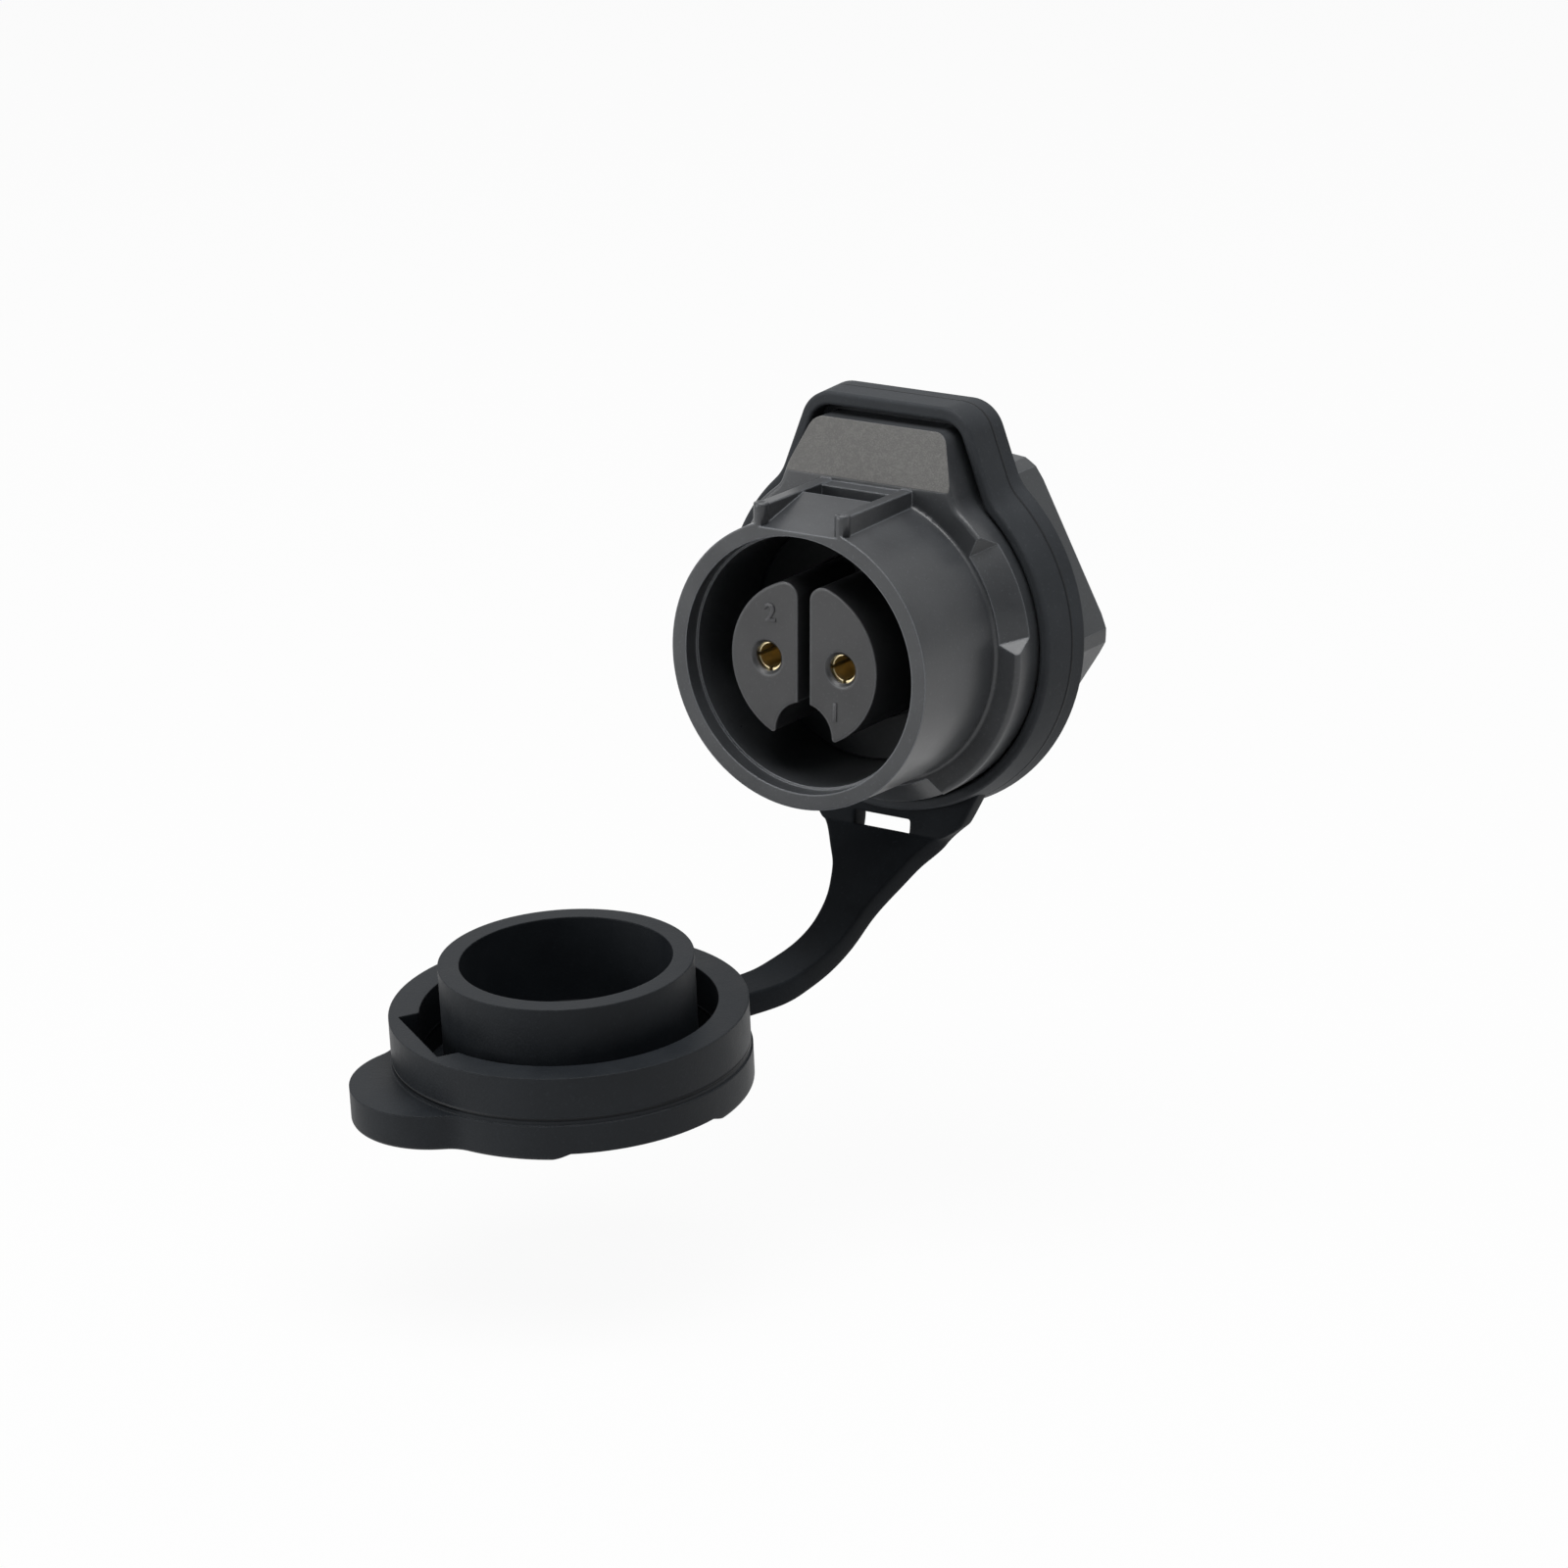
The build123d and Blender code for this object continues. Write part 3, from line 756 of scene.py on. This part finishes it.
class Wardrobe:
    """Every finish of the object, built once."""

    def __init__(self) -> None:
        """Builds the shared groups and the materials."""
        effects = Effects()
        ledge = tuple(mouth - CAP_LEDGE_DEPTH * up for mouth, up in zip(CAP_MOUTH, CAP_UP))
        self.shell = MouldedPlastic(
            name="shell_black", dark=(0.033, 0.0352, 0.0385), light=(0.043, 0.0458, 0.0497),
            roughness=0.33, grains_per_metre=7200.0, facet=LugFacet(),
        ).material(effects)
        self.block = MouldedPlastic(
            name="block_black", dark=(0.0205, 0.0209, 0.0224), light=(0.027, 0.0276, 0.0293),
            roughness=0.36, grains_per_metre=7600.0, edge_radius=0.34,
        ).material(effects)
        self.nut = MouldedPlastic(
            name="nut_black", dark=(0.024, 0.0267, 0.0295), light=(0.032, 0.0352, 0.0385),
            roughness=0.44, grains_per_metre=6400.0, relief=0.016,
        ).material(effects)
        self.collar = MouldedRubber(
            name="collar_rubber", dark=(0.0265, 0.0292, 0.0327), light=(0.035, 0.0383, 0.0427),
            roughness=0.58, specular=0.12, line=PartingLine((0.0, -1.5, 0.0)),
        ).material(effects)
        self.cap = MouldedRubber(
            name="cap_rubber_black", dark=(0.0078, 0.0096, 0.012), light=(0.0115, 0.0138, 0.0167),
            roughness=0.5, specular=0.19, line=PartingLine(ledge, CAP_UP),
        ).material(effects)
        self.strap = MouldedRubber(
            name="strap_rubber", dark=(0.0075, 0.0088, 0.0105), light=(0.012, 0.014, 0.0165),
            roughness=0.6, specular=0.06,
        ).material(effects)
        self.seal = MouldedRubber(
            name="seal_silicone", dark=(0.004, 0.0055, 0.007), light=(0.008, 0.0095, 0.011), roughness=0.5
        ).material(effects)
        self.gold = TurnedMetal("gold_plate", (1.0, 0.85, 0.52), (0.93, 0.74, 0.38), 0.36).material(effects)
        self.steel = TurnedMetal(
            "spring_steel_bright", (0.55, 0.55, 0.56), (0.4, 0.39, 0.37), 0.3
        ).material(effects)


@dataclass
class Assembly:
    """A sub-assembly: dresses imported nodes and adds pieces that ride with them."""

    wardrobe: Wardrobe
    body: Body = Body.CONNECTOR

    def dress(self, node: str, material: Material) -> None:
        """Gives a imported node's object this material in place of its plain one."""
        self.coat(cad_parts[node].data, material)
        log.info("dressed %s in %s", node, material.name)

    @staticmethod
    def coat(mesh: bpy.types.Mesh, material: Material) -> None:
        """Makes a material the only one of a mesh."""
        mesh.materials.clear()
        mesh.materials.append(material)

    def finish(self, piece: Object, material: Material, slot: Slot) -> None:
        """Gives a new piece its material, and reports it.

        Args:
            piece: The new piece.
            material: Its material.
            slot: Not used.
        """
        self.coat(piece.data, material)
        log.info("made %s with %d faces", piece.name, len(piece.data.polygons))

    def place(self, piece: Object, material: Material, slot: Slot) -> None:
        """Finishes a new piece and lets it ride on the assembly's body."""
        self.finish(piece, material, slot)
        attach(piece, self.body.value)


@dataclass
class Thread:
    """Thread round a barrel along Y."""

    crest_radius: float = 11.0
    depth: float = 0.6
    pitch: float = 1.0
    front: float = -2.45
    back: float = 8.88
    lead_in: float = 0.7
    start: float = 0.2
    inner_radius: float = 10.05
    flank_steepness: float = 2.9
    crest_cut: float = 0.85
    sharp_angle: float = math.radians(50)
    turns_across: int = 144
    rows_per_pitch: int = 20

    def radius(self, y: Array, a: Array) -> Array:
        """Radius at depth y and angle a.

        The phase is y / pitch - a / full turn. The radius is the crest's less the depth times a rounded
        trapezoid of the phase, which fades in behind the panel seat, and never more than the lead-in's cone,
        which loses as much radius as it gains depth.

        Args:
            y: Depths, one a row.
            a: Angles, one a column.

        Returns:
            The radii, a row for each depth.
        """
        phase = (y / self.pitch - a / (2 * np.pi)) % 1.0
        groove = smooth_step(np.clip(self.flank_steepness * np.abs(2 * phase - 1) - self.crest_cut, 0.0, 1.0))
        fade = np.clip((y - self.start) / self.pitch, 0.0, 1.0)
        cone = self.crest_radius - (y - (self.back - self.lead_in))
        return np.minimum(self.crest_radius - self.depth * groove * fade, cone)

    def piece(self, name: str) -> Object:
        """Sleeve whose outside is the thread and whose inside is a plain cylinder.

        Args:
            name: The piece's name.

        Returns:
            The closed sleeve.
        """
        rows = int((self.back - self.front) / self.pitch * self.rows_per_pitch)
        y = np.linspace(self.front, self.back, rows)[:, None]
        a = np.linspace(0.0, 2 * np.pi, self.turns_across, endpoint=False)[None, :]
        radius = np.concatenate([self.radius(y, a), np.full((2, self.turns_across), self.inner_radius)])
        depth = np.broadcast_to(np.concatenate([y, [[self.back], [self.front]]]), radius.shape)
        points = np.stack([radius * np.cos(a), depth, radius * np.sin(a)], axis=-1).reshape(-1, 3) * MM
        faces = quad_corners(rows + 3, self.turns_across, wrap=True) % len(points)
        piece = make_piece(name, points, faces[:, ::-1])
        piece.data.set_sharp_from_angle(angle=self.sharp_angle)
        return piece


@dataclass
class Digit:
    """A raised number on a flat face square to Y."""

    text: str
    side: float
    depth: float
    height_above_axis: float
    faces_back: bool = False
    size: float = 2.1
    rise: float = 0.08
    boldness: float = 0.03
    edge_radius: float = 0.025
    edge_steps: int = 2

    def piece(self, name: str) -> Object:
        """Turns the number into a mesh and stands it up on its face.

        Args:
            name: The piece's name.

        Returns:
            The raised number.
        """
        curve = bpy.data.curves.new(name, "FONT")
        curve.body = self.text
        curve.size = self.size * MM
        curve.extrude = self.rise * MM
        curve.offset = self.boldness * MM
        curve.bevel_depth = self.edge_radius * MM
        curve.bevel_resolution = self.edge_steps
        curve.align_x, curve.align_y = "CENTER", "CENTER"
        flat = put_in_scene(name + "_text", curve)
        bpy.context.view_layer.update()
        mesh = evaluated_mesh(flat)
        bpy.data.objects.remove(flat)
        turn = Matrix.Rotation(math.pi / 2, 4, "X")
        if self.faces_back:
            turn = Matrix.Rotation(math.pi, 4, "Z") @ turn
        place = Vector((self.side, self.depth, self.height_above_axis)) * MM
        mesh.transform(Matrix.Translation(place) @ turn)
        return put_in_scene(name, mesh)


@dataclass
class LatchPost:
    """Round post with a dished top at the front end of a latch rib."""

    side: float
    depth: float = -17.36
    radius: float = 0.63
    foot: float = 11.0
    top: float = 12.97
    edge_radius: float = 0.16
    dish: float = 0.16
    steps_round: int = 40
    edge_steps: int = 6
    dish_steps: int = 5
    weld_distance: float = 0.001

    def piece(self, name: str) -> Object:
        """Turns the post about an upright line.

        The profile rises from the foot, rounds a quarter circle at the top edge and falls inward as a cosine
        dish. It closes on the line at both ends, where a row of equal points becomes one.

        Args:
            name: The piece's name.

        Returns:
            The closed post.
        """
        bend = np.linspace(0.0, np.pi / 2, self.edge_steps + 1)
        inner = np.linspace(1.0, 0.0, self.dish_steps + 1)[1:]
        rim = self.radius - self.edge_radius
        reach = np.concatenate([
            [0.0, self.radius], rim + self.edge_radius * np.cos(bend), rim * inner,
        ])[:, None]
        height = np.concatenate([
            [self.foot, self.foot], self.top - self.edge_radius * (1 - np.sin(bend)),
            self.top - self.dish * (1 + np.cos(np.pi * inner)) / 2,
        ])[:, None]
        turn = np.linspace(0.0, 2 * np.pi, self.steps_round, endpoint=False)[None, :]
        points = np.stack([
            self.side + reach * np.cos(turn), self.depth + reach * np.sin(turn),
            np.broadcast_to(height, (len(reach), self.steps_round)),
        ], axis=-1).reshape(-1, 3)
        piece = make_piece(name, points * MM, quad_corners(len(reach), self.steps_round, wrap=True))
        weld = piece.modifiers.new("weld", "WELD")
        weld.merge_threshold = self.weld_distance * MM
        finish_mesh(piece)
        return piece


@dataclass
class Shell(Assembly):
    """The front shell: flange, slanted lug, latch bracket, and the barrel with its thread."""

    barrel_radius: float = 11.0
    turned_radius: float = 10.2
    barrel_inside: float = 9.9
    flange_back: float = -2.5
    radius_margin: float = 0.02
    depth_margin: float = 0.01
    merge_distance: float = 0.001
    rib_middle: float = 3.82

    def build(self) -> None:
        """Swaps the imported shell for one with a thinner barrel, and adds the thread and the posts."""
        shell = self.turned_down_copy()
        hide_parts("shell")
        self.place(shell, self.wardrobe.shell, Slot.SHELL)
        thread = Thread(crest_radius=self.barrel_radius).piece("barrel_thread")
        self.place(thread, self.wardrobe.shell, Slot.SHELL)
        for name, side in (("latch_post_left", -self.rib_middle), ("latch_post_right", self.rib_middle)):
            self.place(LatchPost(side).piece(name), self.wardrobe.shell, Slot.SHELL)

    def merged_triangles(self, mesh: bpy.types.Mesh) -> tuple[Array, Array, Array]:
        """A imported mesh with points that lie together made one, and without the triangles that this closes.

        Args:
            mesh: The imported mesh, all triangles.

        Returns:
            The points in metres, the triangles' corners, and a normal for each corner.
        """
        points = np.empty(len(mesh.vertices) * 3, np.float32)
        mesh.vertices.foreach_get("co", points)
        points = points.reshape(-1, 3).astype(float)
        corners = np.empty(len(mesh.loops), np.int32)
        mesh.loops.foreach_get("vertex_index", corners)
        normals = np.empty(len(mesh.loops) * 3, np.float32)
        mesh.corner_normals.foreach_get("vector", normals)
        cells = np.round(points / (self.merge_distance * MM)).astype(np.int64)
        _, first, index = np.unique(cells, axis=0, return_index=True, return_inverse=True)
        faces = index.reshape(-1)[corners].reshape(-1, 3)
        whole = (faces != np.roll(faces, -1, axis=1)).all(axis=1)
        return points[first], faces[whole], normals.reshape(-1, 3, 3)[whole].reshape(-1, 3)

    def turned_down_copy(self) -> Object:
        """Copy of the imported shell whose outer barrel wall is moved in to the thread's core.

        Each corner keeps the normal it had, so round faces stay smooth and edges stay crisp.

        Returns:
            The new piece.
        """
        points, faces, normals = self.merged_triangles(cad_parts["shell"].data)
        reach = np.hypot(points[:, 0], points[:, 2])
        wall = (reach > self.barrel_inside * MM) & (reach < (self.barrel_radius + self.radius_margin) * MM)
        wall &= points[:, 1] > (self.flange_back - self.depth_margin) * MM
        for across in (0, 2):
            points[wall, across] *= self.turned_radius * MM / reach[wall]
        piece = make_piece("shell_body", points, faces)
        piece.data.normals_split_custom_set(normals)
        return piece


@dataclass
class Insert(Assembly):
    """The contact block, rear insert and lock ring, with their numbers, seals and contacts."""

    front_face: float = -17.05
    rear_face: float = 3.5
    rear_side: float = 3.5
    rear_height: float = -3.4

    def build(self) -> None:
        """Dresses the nodes and adds the numbers on the front and rear faces."""
        self.dress("contact_block", self.wardrobe.block)
        self.dress("rear_insert", self.wardrobe.block)
        self.dress("insert_lock_ring", self.wardrobe.nut)
        self.dress("insert_seal", self.wardrobe.seal)
        self.dress("interface_seal", self.wardrobe.seal)
        for number in (1, 2):
            self.dress(f"contact_{number}", self.wardrobe.gold)
            self.dress(f"contact_sleeve_{number}", self.wardrobe.steel)
            self.dress(f"contact_seal_{number}", self.wardrobe.seal)
        digits = {
            "number_2_front": Digit("2", -3.16, self.front_face, 3.72),
            "number_1_front": Digit("1", 2.99, self.front_face, -3.71),
            "number_1_rear": Digit("1", self.rear_side, self.rear_face, self.rear_height, faces_back=True),
            "number_2_rear": Digit("2", -self.rear_side, self.rear_face, self.rear_height, faces_back=True),
        }
        for name, digit in digits.items():
            self.place(digit.piece(name), self.wardrobe.block, Slot.BLOCK)


@dataclass
class Strap(Assembly):
    """The soft strap from the collar's foot to the cap: a flat band with a slot near its root."""

    thickness: float = 2.0
    edge_softness: float = 0.22
    root_radius: float = 15.1
    root_half_width: float = 9.1
    slot_left: float = -3.4
    slot_right: float = 1.8
    slot_high: float = -16.65
    slot_low: float = -18.2
    slot_front: float = -4.0
    slot_share: float = 0.45
    turning_length: float = 2.5
    row_spacing: float = 0.8
    side_steps: int = 3
    slot_steps: int = 4
    span_steps: int = 40
    rounding: int = 2

    # points of the middle line and half widths, from the collar to the cap
    route = (
        ((0.0, -2.4, -14.0), 8.75),
        ((-0.3, -2.4, -16.2), 7.4),
        ((-0.9, -2.6, -18.1), 5.75),
        ((-0.78, -3.9, -19.3), 4.55),
        ((-0.58, -5.5, -20.6), 3.45),
        ((-0.6, -7.1, -21.9), 2.65),
        ((-0.7, -8.7, -23.3), 2.05),
        ((-0.9, -10.9, -25.0), 1.85),
        ((-1.2, -13.5, -26.2), 1.85),
        ((-1.7, -16.3, -27.0), 1.95),
        ((-2.3, -19.2, -27.5), 2.05),
        ((-3.9, -24.0, -27.7), 2.1),
    )

    def build(self) -> None:
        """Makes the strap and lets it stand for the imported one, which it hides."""
        strap = self.band()
        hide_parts("cap_strap")
        self.finish(strap, self.wardrobe.strap, Slot.RUBBER)
        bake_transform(strap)

    def rows(self) -> Array:
        """Middle line and half width at each row: even steps along the route, with rows on the slot's edges.

        Returns:
            Rows of x, y, z and half width, from the slot's upper side to the cap.
        """
        line = catmull_rom(np.array([(*point, half) for point, half in self.route]), self.span_steps)
        soft, high, low = self.edge_softness, self.slot_high, self.slot_low
        slot_rows = np.array([high + soft, high, high - soft, (high + low) / 2, low + soft, low, low - soft])
        steps = np.linalg.norm(np.diff(line[:, :3], axis=0), axis=1)
        walked = np.concatenate([[0.0], np.cumsum(steps)])
        at_slot = np.interp(-slot_rows, -line[:, 2], walked)
        count = int((walked[-1] - at_slot[-1]) / self.row_spacing)
        stops = np.concatenate([at_slot, np.linspace(at_slot[-1], walked[-1], count)[1:]])
        return np.stack([np.interp(stops, walked, value) for value in line.T], axis=-1)

    def across(self, left: Array, right: Array, count: int) -> Array:
        """Places from left to right in each row: both ends, and even steps between points just inside them.

        Args:
            left: Where each row starts.
            right: Where each row ends.
            count: Number of places between the ends.

        Returns:
            The places, a row for each row.
        """
        inner = left + self.edge_softness
        span = right - left - 2 * self.edge_softness
        steps = inner[:, None] + span[:, None] * np.linspace(0.0, 1.0, count)[None, :]
        return np.concatenate([left[:, None], steps, right[:, None]], axis=1)

    def columns(self, left: Array, slot_left: Array, slot_right: Array, right: Array) -> Array:
        """Places across each row: its left part, the part as wide as the slot, and its right part.

        Args:
            left: Where each row starts.
            slot_left: Where its middle part starts.
            slot_right: Where its middle part ends.
            right: Where each row ends.

        Returns:
            The places, a row for each row.
        """
        return np.concatenate([
            self.across(left, slot_left, self.side_steps)[:, :-1],
            self.across(slot_left, slot_right, self.slot_steps)[:, :-1],
            self.across(slot_right, right, self.side_steps),
        ], axis=1)

    def sheet(self) -> Array:
        """Middle sheet of the band, as a grid of points.

        Beside the slot the three parts of a row meet at the slot's ends and the rows run level; further on
        the parts keep their share of the width, and the rows turn square to the route. A first row lies on
        an arc inside the collar's wall, with one row midway.

        Returns:
            The grid, a row of points for each row of the band.
        """
        rows = self.rows()
        middle, half = rows[:, :3], rows[:, 3]
        along = np.gradient(middle, axis=0)
        along /= np.linalg.norm(along, axis=1)[:, None]
        past = smooth_step(np.clip((self.slot_low - middle[:, 2]) / self.turning_length, 0.0, 1.0))
        side = np.array([1.0, 0.0, 0.0]) - (along * along[:, :1]) * past[:, None]
        side /= np.linalg.norm(side, axis=1)[:, None]
        share_left = (self.slot_left - middle[:, 0]) * (1 - past) - self.slot_share * half * past
        share_right = (self.slot_right - middle[:, 0]) * (1 - past) + self.slot_share * half * past
        places = self.columns(-half, share_left, share_right, half)
        grid = middle[:, None] + side[:, None] * places[:, :, None]
        ends = (-self.root_half_width, self.slot_left, self.slot_right, self.root_half_width)
        root_places = self.columns(*(np.array([end]) for end in ends))[0]
        root_depth = self.route[0][0][1]
        root_height = -np.sqrt(self.root_radius**2 - root_places**2)
        root = np.stack([root_places, np.full_like(root_places, root_depth), root_height], axis=-1)
        return np.concatenate([[root, (root + grid[0]) / 2], grid])

    def band(self) -> Object:
        """The sheet with the slot left open, thickened and rounded.

        Returns:
            The finished band.
        """
        sheet = self.sheet()
        points = sheet.reshape(-1, 3)
        faces = quad_corners(*sheet.shape[:2])
        centre = points[faces].mean(axis=1)
        in_slot = (centre[:, 0] > self.slot_left) & (centre[:, 0] < self.slot_right)
        in_slot &= (centre[:, 2] < self.slot_high) & (centre[:, 2] > self.slot_low)
        in_slot &= centre[:, 1] > self.slot_front
        piece = make_piece("strap_band", points * MM, faces[~in_slot])
        wall = piece.modifiers.new("wall", "SOLIDIFY")
        wall.thickness = self.thickness * MM
        wall.offset = 0.0
        wall.use_even_offset = True
        soft = piece.modifiers.new("soft", "SUBSURF")
        soft.levels = soft.render_levels = self.rounding
        finish_mesh(piece)
        return piece


@dataclass
class Rubber(Assembly):
    """The collar, the dust cap and the strap between them."""

    def build(self) -> None:
        """Dresses the collar and the cap and makes the strap."""
        self.dress("sealing_collar", self.wardrobe.collar)
        self.dress("dust_cap", self.wardrobe.cap)
        Strap(self.wardrobe).build()


@dataclass
class LockNut(Assembly):
    """The hexagon nut behind the panel."""

    def build(self) -> None:
        """Dresses the nut."""
        self.dress("lock_nut", self.wardrobe.nut)


@dataclass(frozen=True)
class Softbox:
    """A rectangular lamp. Metres and watts."""

    name: str
    place: Point
    width: float
    height: float
    power: float
    target: Point = (0.0, -0.01, 0.0)

    def put_up(self) -> None:
        """Makes the lamp and turns it to its target."""
        data = bpy.data.lights.new(self.name, "AREA")
        data.shape = "RECTANGLE"
        data.size, data.size_y = self.width, self.height
        data.energy = self.power
        lamp = put_in_scene(self.name, data)
        lamp.location = self.place
        lamp.rotation_euler = (Vector(self.target) - Vector(self.place)).to_track_quat("-Z", "Y").to_euler()


@dataclass(frozen=True)
class Floor:
    """Flat square of white paper under the object."""

    height: float
    half_width: float = 6.0
    shade: float = 0.6
    roughness: float = 0.9
    glow: float = 0.94

    def lay(self) -> None:
        """Makes the floor, white to the camera but with the object's shadow kept."""
        half = self.half_width
        square = np.array([(-half, -half, 0), (half, -half, 0), (half, half, 0), (-half, half, 0)], float)
        floor = make_piece("floor", square + (0, 0, self.height), np.array([[0, 1, 2, 3]]))
        floor.data.materials.append(self.paper())
        floor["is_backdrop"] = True

    def paper(self) -> Material:
        """White paper that a share of plain white is mixed into where the camera or a reflection sees it.

        Returns:
            The material.
        """
        material = bpy.data.materials.new("floor_white")
        material.use_nodes = True
        w = Wiring(material.node_tree)
        w.tree.nodes.clear()
        paper = w.add("BsdfPrincipled")
        paper.inputs["Base Color"].default_value = (self.shade, self.shade, self.shade, 1.0)
        paper.inputs["Roughness"].default_value = self.roughness
        plain = w.add("Emission").outputs[0]
        _, seen = w.seen_rays()
        mixed = w.add("MixShader", w.math("MULTIPLY", seen, self.glow), paper.outputs[0], plain)
        w.add("OutputMaterial", mixed.outputs[0])
        return material


@dataclass(frozen=True)
class Room:
    """The world: bright behind and above the object, dim in front of it, and white to the camera."""

    away: Point = (-0.534, 0.846, 0.0)
    behind_range: Range = (0.0, 0.6)
    above_range: Range = (0.15, 0.75)
    dim: float = 0.12
    bright: float = 0.8
    soft_light: float = 0.22

    def build(self) -> None:
        """Makes the world, which reflections see in full and other rays as a soft light."""
        world = bpy.data.worlds.new("studio_white")
        world.use_nodes = True
        w = Wiring(world.node_tree)
        w.tree.nodes.clear()
        camera, seen = w.seen_rays()
        direction = w.add("TexCoord").outputs["Generated"]
        behind = w.ramp(w.dot(direction, self.away), *self.behind_range)
        above = w.ramp(w.add("SeparateXYZ", direction).outputs["Z"], *self.above_range)
        room = w.ramp(w.math("MAXIMUM", behind, above), 0.0, 1.0, self.dim, self.bright)
        room = w.math("MAXIMUM", room, camera)
        strength = w.math("MULTIPLY", room, w.ramp(seen, 0.0, 1.0, self.soft_light, 1.0))
        light = w.add("Background", (1.0, 1.0, 1.0, 1.0), strength)
        w.add("OutputWorld", light.outputs[0])
        bpy.context.scene.world = world


@dataclass(frozen=True)
class Camera:
    """Where the picture was taken from. Metres, and millimetres for the lens and sensor."""

    eye: Point = (0.21535, -0.36118, 0.11630)
    right: Point = (0.845645, 0.533746, 0.0)
    up: Point = (-0.158751, 0.251479, 0.954755)
    back: Point = (0.509591, -0.807386, 0.297395)
    lens: float = 120.43
    sensor_width: float = 36.0
    nearest: float = 0.01
    farthest: float = 50.0

    def set_up(self) -> None:
        """Makes the camera and gives it to the scene."""
        data = bpy.data.cameras.new("picture_camera")
        data.sensor_width = self.sensor_width
        data.lens = self.lens
        data.clip_start, data.clip_end = self.nearest, self.farthest
        camera = put_in_scene("picture_camera", data)
        turn = Matrix((self.right, self.up, self.back)).transposed()
        camera.matrix_world = Matrix.Translation(self.eye) @ turn.to_4x4()
        bpy.context.scene.camera = camera


@dataclass(frozen=True)
class Studio:
    """Pale floor, soft light and the camera."""

    floor_height: float
    lamps = (
        Softbox("top_softbox", (0.08, -0.12, 0.75), 0.8, 0.6, 8.5),
        Softbox("key_softbox", (-0.55, -0.72, 0.12), 0.5, 0.5, 4.9),
    )

    def build(self) -> None:
        """Makes the floor, world, lamps and camera."""
        Floor(self.floor_height).lay()
        Room().build()
        for lamp in self.lamps:
            lamp.put_up()
        Camera().set_up()


def corners(box: tuple[Vector, Vector]) -> list[list[float]]:
    """A box's two corners as plain lists of numbers."""
    return [[float(v) for v in corner] for corner in box]


def main() -> None:
    """Builds the sub-assemblies, then the studio with its floor below the object's box."""
    logging.basicConfig(level=logging.INFO, format="%(message)s")
    bpy.context.scene.view_settings.view_transform = "Standard"
    solid_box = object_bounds()
    wardrobe = Wardrobe()
    for assembly in (Shell(wardrobe), Insert(wardrobe), Rubber(wardrobe), LockNut(wardrobe)):
        assembly.build()
    Studio(floor_height=solid_box[0].z - CAP_DROP * MM).build()
    log.info("boxes kept")


if __name__ == "__main__":
    main()
